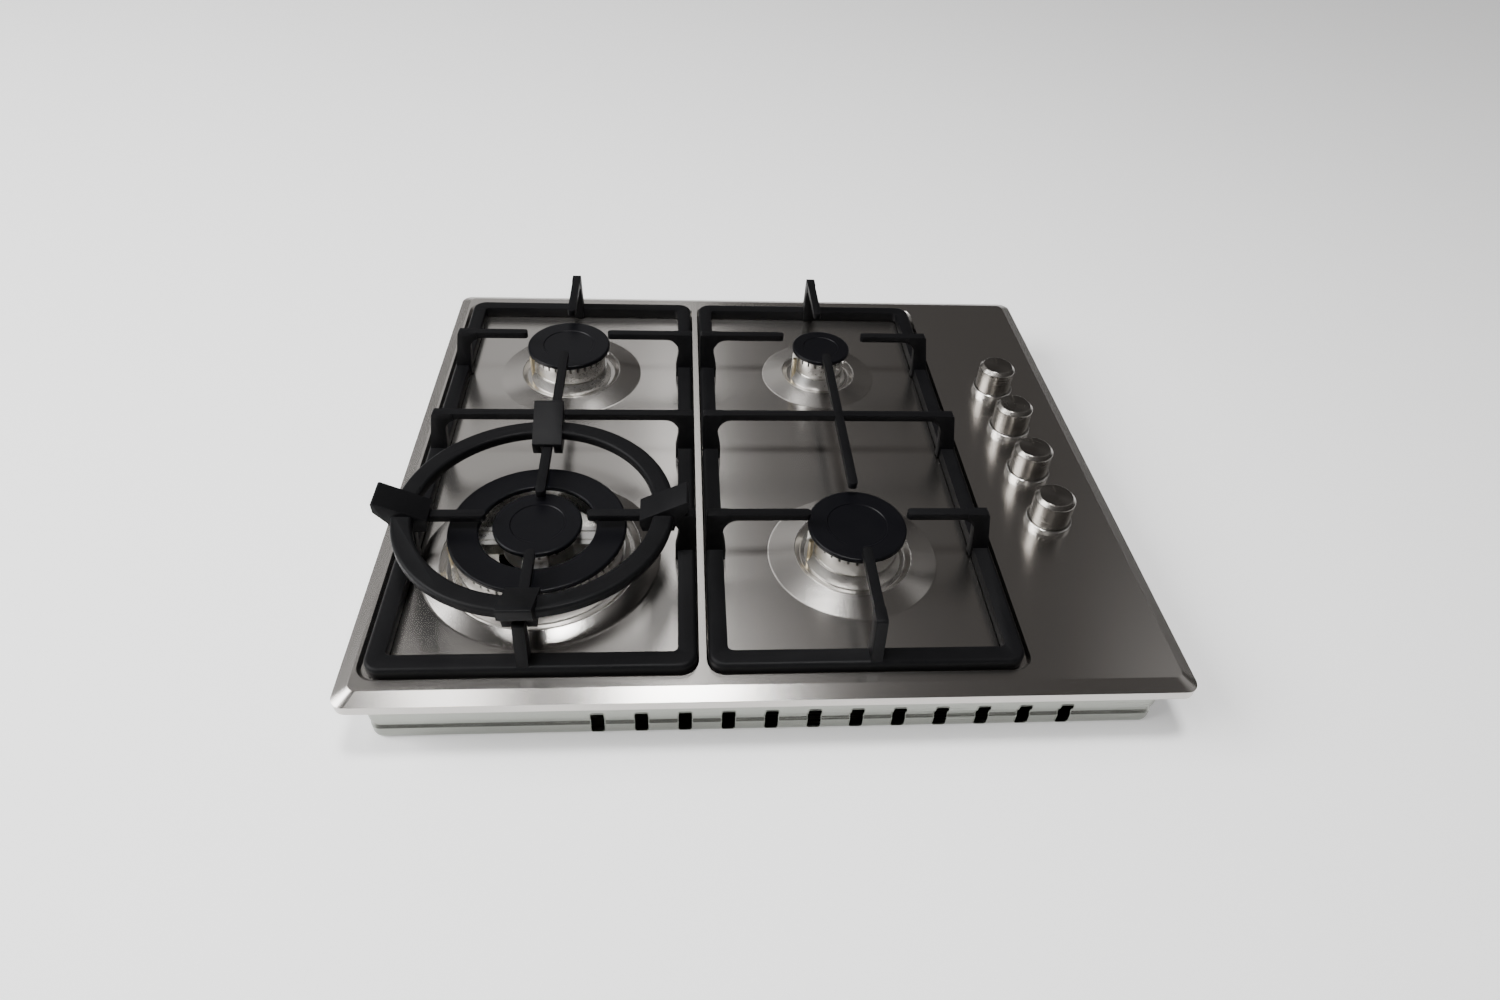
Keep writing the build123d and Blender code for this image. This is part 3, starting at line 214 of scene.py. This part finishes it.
turned_lines, given, result = new_group(
    "turned_lines", [("Axis Point", "NodeSocketVector", (0, 0, 0)),
                     ("Fineness", "NodeSocketFloat", 2500.0)], ["Lines", "Cloud"])
place = add(turned_lines, "ShaderNodeTexCoord")
from_axis = add(turned_lines, "ShaderNodeVectorMath", operation="SUBTRACT")
flat = add(turned_lines, "ShaderNodeVectorMath", operation="MULTIPLY")
flat.inputs[1].default_value = (1, 1, 0)
reach = add(turned_lines, "ShaderNodeVectorMath", operation="LENGTH")
parts = add(turned_lines, "ShaderNodeSeparateXYZ")
joined = add(turned_lines, "ShaderNodeCombineXYZ")
scaled = add(turned_lines, "ShaderNodeVectorMath", operation="SCALE")
fine = add(turned_lines, "ShaderNodeTexNoise", Scale=1.0, Detail=3.0, Roughness=0.7)
cloud = add(turned_lines, "ShaderNodeTexNoise", Scale=60.0, Detail=2.0)
join(turned_lines,
     (place.outputs["Object"], from_axis.inputs[0]),
     (given.outputs["Axis Point"], from_axis.inputs[1]),
     (from_axis.outputs[0], flat.inputs[0]),
     (flat.outputs[0], reach.inputs[0]),
     (from_axis.outputs[0], parts.inputs[0]),
     (reach.outputs["Value"], joined.inputs["X"]),
     (parts.outputs["Z"], joined.inputs["Z"]),
     (joined.outputs[0], scaled.inputs[0]),
     (given.outputs["Fineness"], scaled.inputs["Scale"]),
     (scaled.outputs[0], fine.inputs["Vector"]),
     (place.outputs["Object"], cloud.inputs["Vector"]),
     (fine.outputs["Fac"], result.inputs["Lines"]),
     (cloud.outputs["Fac"], result.inputs["Cloud"]))

cast_grain, given, result = new_group(
    "cast_grain", [("Fineness", "NodeSocketFloat", 1400.0)], ["Grain", "Cloud"])
place = add(cast_grain, "ShaderNodeTexCoord")
grain = add(cast_grain, "ShaderNodeTexNoise", Detail=4.0, Roughness=0.62)
cloud = add(cast_grain, "ShaderNodeTexNoise", Scale=45.0, Detail=3.0)
for texture in (grain, cloud):
    cast_grain.links.new(place.outputs["Object"], texture.inputs["Vector"])
join(cast_grain,
     (given.outputs["Fineness"], grain.inputs["Scale"]),
     (grain.outputs["Fac"], result.inputs["Grain"]),
     (cloud.outputs["Fac"], result.inputs["Cloud"]))
print("groups:", [g.name for g in bpy.data.node_groups])

# %% [markdown]
# ## Finishes
# Every finish follows one plan. A pattern group drives the colour a little, the roughness a
# little, and mostly a Bump node too. The amounts are small, because real sheet and castings are
# even at arm's length and only show their lines and grain close by. The two brushed sheets have no
# bump: their lines are finer than a pixel, and a bump that fine turns into false waves.


# %% A helper for finishes
# A Mix node has a pair of inputs for each kind of data, so its colours are found by number.
COLOUR_A, COLOUR_B, COLOUR_OUT = 6, 7, 2
# Most of the noise lies between these values.
NOISE_LOW, NOISE_HIGH = 0.3, 0.7


def finish(name, pattern, dark, light, rough, bump, metallic=1.0, **plain):
    """A material whose colour and roughness run between two values along a pattern's outputs.

    The bump is a strength and a height in metres, or None.
    """
    material, tree, shader = new_material(name)
    group, fills = pattern
    marks = tree.nodes.new("ShaderNodeGroup")
    marks.node_tree = group
    for label, value in fills.items():
        marks.inputs[label].default_value = value
    lines, cloud = marks.outputs[0], marks.outputs["Cloud"]
    half_lines = maths(tree, "MULTIPLY", lines, 0.5)
    half_cloud = maths(tree, "MULTIPLY", cloud, 0.5)
    blend = maths(tree, "ADD", half_lines, half_cloud)
    tint = add(tree, "ShaderNodeMix", data_type="RGBA")
    tint.inputs[COLOUR_A].default_value = (*dark, 1)
    tint.inputs[COLOUR_B].default_value = (*light, 1)
    spread = add(tree, "ShaderNodeMapRange", From_Min=NOISE_LOW, From_Max=NOISE_HIGH,
                 To_Min=rough[0], To_Max=rough[1])
    join(tree,
         (blend, tint.inputs[0]),
         (tint.outputs[COLOUR_OUT], shader.inputs["Base Color"]),
         (blend, spread.inputs["Value"]),
         (spread.outputs[0], shader.inputs["Roughness"]))
    if bump:
        relief = add(tree, "ShaderNodeBump", Strength=bump[0], Distance=bump[1])
        join(tree, (lines, relief.inputs["Height"]), (relief.outputs[0], shader.inputs["Normal"]))
    shader.inputs["Metallic"].default_value = metallic
    for label, value in plain.items():
        shader.inputs[label.replace("_", " ")].default_value = value
    return material


def along(material, direction):
    """Stretches the glints of a brushed metal along a direction that no face points along."""
    tree = material.node_tree
    axis = add(tree, "ShaderNodeCombineXYZ")
    for slot, value in zip(axis.inputs, direction):
        slot.default_value = value
    tree.links.new(axis.outputs[0], tree.nodes["Principled BSDF"].inputs["Tangent"])


# %% Steel and other bare metals
SHEET_LINES = (brushed_lines, {"Stretch": (7, 1300, 1300)})
panel_steel = finish("panel_steel", SHEET_LINES,
                     dark=(0.46, 0.44, 0.42), light=(0.50, 0.48, 0.455),
                     rough=(0.23, 0.26), bump=None, Anisotropic=0.8)
along(panel_steel, (0, 1, 0.3))
case_steel = finish("case_steel", SHEET_LINES,
                    dark=(0.27, 0.28, 0.255), light=(0.34, 0.35, 0.32),
                    rough=(0.22, 0.30), bump=None, Anisotropic=0.6)
along(case_steel, (0.2, 0.3, 1))
burner_alloy = finish("burner_alloy", (brushed_lines, {"Stretch": (400, 400, 1600)}),
                      dark=(0.60, 0.59, 0.57), light=(0.74, 0.73, 0.71),
                      rough=(0.22, 0.36), bump=(0.12, 0.00005))
pipe_alloy = finish("pipe_alloy", (brushed_lines, {"Stretch": (300, 300, 300)}),
                    dark=(0.60, 0.60, 0.60), light=(0.72, 0.72, 0.72),
                    rough=(0.26, 0.38), bump=(0.10, 0.00005))
brass = finish("brass", (brushed_lines, {"Stretch": (350, 350, 1200)}),
               dark=(0.52, 0.45, 0.30), light=(0.66, 0.58, 0.41),
               rough=(0.26, 0.40), bump=(0.15, 0.00005))
stem_steel = finish("stem_steel", (brushed_lines, {"Stretch": (300, 300, 1800)}),
                    dark=(0.44, 0.44, 0.44), light=(0.58, 0.58, 0.58),
                    rough=(0.22, 0.34), bump=(0.12, 0.00005))
fixings_zinc = finish("fixings_zinc", (cast_grain, {"Fineness": 900.0}),
                      dark=(0.50, 0.51, 0.52), light=(0.66, 0.66, 0.62),
                      rough=(0.28, 0.42), bump=(0.15, 0.00008))

# %% Enamel, iron, rubber, plastic and ceramic
cast_iron = finish("cast_iron", (cast_grain, {"Fineness": 1100.0}),
                   dark=(0.002, 0.002, 0.0025), light=(0.006, 0.006, 0.0065),
                   rough=(0.42, 0.55), bump=(0.30, 0.0001), metallic=0.0, Specular_IOR_Level=0.09)
cap_enamel = finish("cap_enamel", (cast_grain, {"Fineness": 700.0}),
                    dark=(0.002, 0.002, 0.003), light=(0.004, 0.004, 0.005),
                    rough=(0.32, 0.40), bump=(0.10, 0.0001), metallic=0.0, Specular_IOR_Level=0.11)
seal_rubber = finish("seal_rubber", (cast_grain, {"Fineness": 1800.0}),
                     dark=(0.012, 0.012, 0.012), light=(0.030, 0.030, 0.030),
                     rough=(0.70, 0.85), bump=(0.30, 0.0001), metallic=0.0)
lead_rubber = finish("lead_rubber", (cast_grain, {"Fineness": 1200.0}),
                     dark=(0.40, 0.05, 0.03), light=(0.58, 0.09, 0.06),
                     rough=(0.40, 0.55), bump=(0.15, 0.0001), metallic=0.0)
black_plastic = finish("black_plastic", (cast_grain, {"Fineness": 1500.0}),
                       dark=(0.020, 0.020, 0.022), light=(0.045, 0.045, 0.048),
                       rough=(0.45, 0.60), bump=(0.25, 0.0001), metallic=0.0)
white_ceramic = finish("white_ceramic", (cast_grain, {"Fineness": 600.0}),
                       dark=(0.74, 0.72, 0.66), light=(0.88, 0.86, 0.80),
                       rough=(0.18, 0.30), bump=(0.08, 0.0001), metallic=0.0)
print("finishes:", len(bpy.data.materials))

# %% [markdown]
# ## Knobs and their rings
# The knobs are turned from solid bar, so their lines run round each knob's own axis. A material
# can hold only one axis, so each knob gets its own copy, centred on that knob.


# %% Turned metal for each knob
TAPS = range(1, 5)


def turned_metal(name, node):
    """Turned metal centred on the axis of one node."""
    low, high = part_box(node)
    axis_point = ((low.x + high.x) / 2, (low.y + high.y) / 2, low.z)
    return finish(name, (turned_lines, {"Axis Point": axis_point, "Fineness": 2600.0}),
                  dark=(0.21, 0.20, 0.185), light=(0.30, 0.285, 0.265),
                  rough=(0.20, 0.30), bump=(0.15, 0.00005), Anisotropic=0.5)


own_finish = {"knob_%d" % row: turned_metal("knob_metal_%d" % row, "knob_%d" % row) for row in TAPS}
bezel_metal = finish("bezel_metal", (brushed_lines, {"Stretch": (300, 300, 2400)}),
                     dark=(0.56, 0.55, 0.53), light=(0.70, 0.69, 0.67),
                     rough=(0.14, 0.24), bump=(0.08, 0.00005))
print("knob finishes:", sorted(own_finish))

# %% [markdown]
# ## Putting the finishes on the solid parts
# The record names a material slot for each node, so one table by slot covers all of them.

# %% Assign finishes
FINISHES = {
    "panel_steel": panel_steel, "case_steel": case_steel, "cast_iron": cast_iron,
    "cap_enamel": cap_enamel, "burner_alloy": burner_alloy, "bezel_metal": bezel_metal,
    "brass": brass, "stem_steel": stem_steel, "fixings_zinc": fixings_zinc,
    "pipe_alloy": pipe_alloy, "seal_rubber": seal_rubber, "lead_rubber": lead_rubber,
    "black_plastic": black_plastic, "white_ceramic": white_ceramic,
}
for entry in frame["record"]["subparts"]:
    name = entry["node"]
    material = own_finish.get(name) or FINISHES[entry["material_slot"]]
    for slot in nodes[name].material_slots:
        slot.material = material

# %% [markdown]
# ## Softened castings
# Cast iron never has knife edges: sand moulds round them, and enamel rounds them more. The solid
# pan supports and the wok ring are exact but sharp, so a copy of each is merged into one skin and
# a Bevel modifier rounds its edges. The copy stands for the solid in the picture, and the solid
# stays in the frame. Each casting moves as a body of its own, which has the name of its node.


# %% Rounded copies
WELD = 1e-6
FLAT = math.radians(1.0)
CASTING_EDGE = 0.0009


def merged_copy(node, name, dissolve=True):
    """A smooth copy of a node as one skin, with flat areas joined where dissolve is set."""
    skin = bmesh.new()
    skin.from_mesh(nodes[node].data)
    bmesh.ops.remove_doubles(skin, verts=skin.verts, dist=WELD)
    if dissolve:
        bmesh.ops.dissolve_limit(skin, angle_limit=FLAT, verts=skin.verts, edges=skin.edges)
    for face in skin.faces:
        face.smooth = True
    mesh = bpy.data.meshes.new(name)
    skin.to_mesh(mesh)
    skin.free()
    piece = bpy.data.objects.new(name, mesh)
    bpy.context.scene.collection.objects.link(piece)
    mesh.materials.append(nodes[node].material_slots[0].material)
    return piece


def softened(node, body, radius, segments=2, angle=32):
    """A merged copy of a node with rounded edges, which replaces the node in the picture."""
    piece = merged_copy(node, node + "_soft")
    bevel = piece.modifiers.new("edges", "BEVEL")
    bevel.width, bevel.segments = radius, segments
    bevel.limit_method, bevel.angle_limit = "ANGLE", math.radians(angle)
    bevel.harden_normals = True
    bevel.use_clamp_overlap = True
    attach(piece, body)
    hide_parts(node)
    return piece


for node in ("pan_support_left", "pan_support_right", "wok_ring"):
    piece = softened(node, node, CASTING_EDGE)
    print(piece.name, len(piece.data.polygons), "faces before its bevel")

# %% [markdown]
# ## Springs of the taps
# Each tap holds a coil spring under the collar of its stem. A merged copy of each spring, with a
# mesh of its own, rides on the valve body of its tap and stands for the solid spring in the
# picture.

# %% Spring copies
for row in TAPS:
    node = "tap_spring_%d" % row
    coil = merged_copy(node, node + "_coil", dissolve=False)
    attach(coil, "valve_%d" % row)
    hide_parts(node)
    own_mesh(coil)

# %% [markdown]
# ## Rolled rims of the cooling slots
# A row of slots is punched in the front wall of the case, and the tool leaves a fine rolled rim
# round each. The rims are all alike, so Geometry Nodes makes one and repeats it: a rounded
# rectangle is bent into the groove of the wall, a small circle is swept along it, and the result
# is placed on a line of points. Modelling twelve by hand would be slower to change.


# %% A node tree for the rims
def tree_inputs(tree, inputs):
    """Named inputs of a geometry tree and its one output; gives the input and output nodes."""
    for label, kind, value in inputs:
        socket = tree.interface.new_socket(label, in_out="INPUT", socket_type=kind)
        if value is not None:
            socket.default_value = value
    tree.interface.new_socket("Geometry", in_out="OUTPUT", socket_type="NodeSocketGeometry")
    return tree.nodes.new("NodeGroupInput"), tree.nodes.new("NodeGroupOutput")


rims = bpy.data.node_groups.new("slot_lips", "GeometryNodeTree")
given, result = tree_inputs(rims, [
    ("Count", "NodeSocketInt", 12), ("Pitch", "NodeSocketVector", (0.0303, 0, 0)),
    ("First", "NodeSocketVector", (-0.123, 0, 0)), ("Width", "NodeSocketFloat", 0.010),
    ("Height", "NodeSocketFloat", 0.021), ("Corner", "NodeSocketFloat", 0.002),
    ("Middle", "NodeSocketVector", (0, -0.240, 0.014)), ("Thickness", "NodeSocketFloat", 0.0004),
    ("Groove Height", "NodeSocketFloat", 0.016), ("Groove Depth", "NodeSocketFloat", 0.0016),
    ("Groove Reach", "NodeSocketFloat", 0.004), ("Finish", "NodeSocketMaterial", None)])
shape = add(rims, "GeometryNodeCurvePrimitiveQuadrilateral")
rounded = add(rims, "GeometryNodeFilletCurve", mode="POLY", Count=4)
points = add(rims, "GeometryNodeResampleCurve", mode="LENGTH", Length=0.0006)
upright = add(rims, "GeometryNodeTransform", Rotation=(math.pi / 2, 0, 0))
bent = add(rims, "GeometryNodeSetPosition")
circle = add(rims, "GeometryNodeCurvePrimitiveCircle", Resolution=8)
swept = add(rims, "GeometryNodeCurveToMesh")
row = add(rims, "GeometryNodeMeshLine")
repeated = add(rims, "GeometryNodeInstanceOnPoints")
solid = add(rims, "GeometryNodeRealizeInstances")
smooth = add(rims, "GeometryNodeSetShadeSmooth")
painted = add(rims, "GeometryNodeSetMaterial")
where = add(rims, "GeometryNodeInputPosition")
heights = add(rims, "ShaderNodeSeparateXYZ")
share = add(rims, "ShaderNodeMapRange", To_Min=1.0, To_Max=0.0)
inward = add(rims, "ShaderNodeCombineXYZ")

# %% Join the nodes
above = maths(rims, "SUBTRACT", heights.outputs["Z"], given.outputs["Groove Height"])
away = maths(rims, "ABSOLUTE", above)
sink = maths(rims, "MULTIPLY", share.outputs[0], given.outputs["Groove Depth"])
join(rims,
     (where.outputs[0], heights.inputs[0]),
     (away, share.inputs["Value"]),
     (given.outputs["Groove Depth"], share.inputs["From Min"]),
     (given.outputs["Groove Reach"], share.inputs["From Max"]),
     (sink, inward.inputs["Y"]))
join(rims,
     (given.outputs["Width"], shape.inputs["Width"]),
     (given.outputs["Height"], shape.inputs["Height"]),
     (shape.outputs[0], rounded.inputs["Curve"]),
     (given.outputs["Corner"], rounded.inputs["Radius"]),
     (rounded.outputs[0], points.inputs["Curve"]),
     (points.outputs[0], upright.inputs["Geometry"]),
     (given.outputs["Middle"], upright.inputs["Translation"]),
     (upright.outputs[0], bent.inputs["Geometry"]),
     (inward.outputs[0], bent.inputs["Offset"]),
     (given.outputs["Thickness"], circle.inputs["Radius"]),
     (bent.outputs[0], swept.inputs["Curve"]),
     (circle.outputs[0], swept.inputs["Profile Curve"]),
     (given.outputs["Count"], row.inputs["Count"]),
     (given.outputs["First"], row.inputs["Start Location"]),
     (given.outputs["Pitch"], row.inputs["Offset"]),
     (row.outputs[0], repeated.inputs["Points"]),
     (swept.outputs[0], repeated.inputs["Instance"]),
     (repeated.outputs[0], solid.inputs["Geometry"]),
     (solid.outputs[0], smooth.inputs["Geometry"]),
     (smooth.outputs[0], painted.inputs["Geometry"]),
     (given.outputs["Finish"], painted.inputs["Material"]),
     (painted.outputs[0], result.inputs["Geometry"]))
print("rim tree:", len(rims.nodes), "nodes")


# %% Make the rims
def grown(name, tree, body, slot, **values):
    """A plain mesh from a geometry tree, with its named inputs filled, riding on a body."""
    piece = bpy.data.objects.new(name, bpy.data.meshes.new(name + "_seed"))
    bpy.context.scene.collection.objects.link(piece)
    modifier = piece.modifiers.new("nodes", "NODES")
    modifier.node_group = tree
    for item in tree.interface.items_tree:
        label = item.name.replace(" ", "_")
        if item.in_out == "INPUT" and label in values:
            modifier[item.identifier] = values[label]
    evaluated = piece.evaluated_get(bpy.context.evaluated_depsgraph_get())
    mesh = bpy.data.meshes.new_from_object(evaluated)
    piece.modifiers.remove(modifier)
    piece.data = mesh
    mesh.name = name
    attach(piece, body)
    return piece


CUBIC_MM = 1e9


def told(piece):
    """Prints a piece's open edges and its volume, which is above 0 if its faces look outwards."""
    skin = bmesh.new()
    skin.from_mesh(piece.data)
    open_edges = sum(len(edge.link_faces) != 2 for edge in skin.edges)
    print(piece.name, len(skin.faces), "faces,", open_edges, "open edges, volume in mm3",
          round(skin.calc_volume(signed=True) * CUBIC_MM, 1))
    skin.free()


slot_lips = grown("slot_lips", rims, "root", "case_steel", Count=12, Finish=case_steel)
told(slot_lips)

# %% [markdown]
# ## Screws with a cross recess
# Three screws on each side hold the panel's brackets to the case. The solid screws are plain
# cylinders, so this tree cuts the cross for the screwdriver into a head with a Boolean, joins the
# shank to it, and sets three on a line down each side. They replace the solid ones in the picture.

# %% A node tree for the screws
screws = bpy.data.node_groups.new("cross_screws", "GeometryNodeTree")
given, result = tree_inputs(screws, [
    ("Head Radius", "NodeSocketFloat", 0.0038), ("Head Height", "NodeSocketFloat", 0.0018),
    ("Shank Radius", "NodeSocketFloat", 0.002), ("Shank Length", "NodeSocketFloat", 0.005),
    ("Cross Size", "NodeSocketVector", (0.0042, 0.0009, 0.0018)), ("Count", "NodeSocketInt", 3),
    ("First", "NodeSocketVector", (0.278, -0.150, 0.044)),
    ("Pitch", "NodeSocketVector", (0, 0.150, 0)), ("Finish", "NodeSocketMaterial", None)])
head = add(screws, "GeometryNodeMeshCylinder", Vertices=36)
shank = add(screws, "GeometryNodeMeshCylinder", Vertices=24)
slit = add(screws, "GeometryNodeMeshCube")
slit_across = add(screws, "GeometryNodeTransform", Rotation=(0, 0, math.pi / 2))
head_up = add(screws, "GeometryNodeTransform")
slit_up = add(screws, "GeometryNodeTransform")
across_up = add(screws, "GeometryNodeTransform")
shank_down = add(screws, "GeometryNodeTransform")
half_head = add(screws, "ShaderNodeCombineXYZ")
full_head = add(screws, "ShaderNodeCombineXYZ")
half_shank = add(screws, "ShaderNodeCombineXYZ")
cut = add(screws, "GeometryNodeMeshBoolean", operation="DIFFERENCE", solver="EXACT")
whole = add(screws, "GeometryNodeMeshBoolean", operation="UNION", solver="EXACT")
sideways = add(screws, "GeometryNodeTransform", Rotation=(0, math.pi / 2, 0))
row = add(screws, "GeometryNodeMeshLine")
repeated = add(screws, "GeometryNodeInstanceOnPoints")
other_side = add(screws, "GeometryNodeTransform", Rotation=(0, 0, math.pi))
both = add(screws, "GeometryNodeJoinGeometry")
solid = add(screws, "GeometryNodeRealizeInstances")
painted = add(screws, "GeometryNodeSetMaterial")

# %% Join the nodes of the screws
head_height = given.outputs["Head Height"]
half_height = maths(screws, "MULTIPLY", head_height, 0.5)
sunk = maths(screws, "MULTIPLY", head_height, 0.25)
shank_size = maths(screws, "ADD", given.outputs["Shank Length"], sunk)
middle = maths(screws, "SUBTRACT", sunk, maths(screws, "MULTIPLY", shank_size, 0.5))
join(screws,
     (half_height, half_head.inputs["Z"]),
     (head_height, full_head.inputs["Z"]),
     (middle, half_shank.inputs["Z"]))
join(screws,
     (given.outputs["Head Radius"], head.inputs["Radius"]),
     (head_height, head.inputs["Depth"]),
     (given.outputs["Shank Radius"], shank.inputs["Radius"]),
     (shank_size, shank.inputs["Depth"]),
     (given.outputs["Cross Size"], slit.inputs["Size"]),
     (head.outputs[0], head_up.inputs[0]),
     (half_head.outputs[0], head_up.inputs["Translation"]),
     (slit.outputs[0], slit_up.inputs[0]),
     (full_head.outputs[0], slit_up.inputs["Translation"]),
     (slit.outputs[0], slit_across.inputs[0]),
     (slit_across.outputs[0], across_up.inputs[0]),
     (full_head.outputs[0], across_up.inputs["Translation"]),
     (shank.outputs[0], shank_down.inputs[0]),
     (half_shank.outputs[0], shank_down.inputs["Translation"]),
     (head_up.outputs[0], cut.inputs["Mesh 1"]),
     (slit_up.outputs[0], cut.inputs["Mesh 2"]),
     (across_up.outputs[0], cut.inputs["Mesh 2"]),
     (cut.outputs[0], whole.inputs["Mesh 2"]),
     (shank_down.outputs[0], whole.inputs["Mesh 2"]),
     (whole.outputs[0], sideways.inputs[0]),
     (given.outputs["Count"], row.inputs["Count"]),
     (given.outputs["First"], row.inputs["Start Location"]),
     (given.outputs["Pitch"], row.inputs["Offset"]),
     (row.outputs[0], repeated.inputs["Points"]),
     (sideways.outputs[0], repeated.inputs["Instance"]),
     (repeated.outputs[0], other_side.inputs[0]),
     (repeated.outputs[0], both.inputs[0]),
     (other_side.outputs[0], both.inputs[0]),
     (both.outputs[0], solid.inputs[0]),
     (solid.outputs[0], painted.inputs["Geometry"]),
     (given.outputs["Finish"], painted.inputs["Material"]),
     (painted.outputs[0], result.inputs["Geometry"]))
print("screw tree:", len(screws.nodes), "nodes")

# %% Make the screws
cross_screws = grown("cross_screws", screws, "root", "fixings_zinc", Count=3, Finish=fixings_zinc)
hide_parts("case_screws")
told(cross_screws)
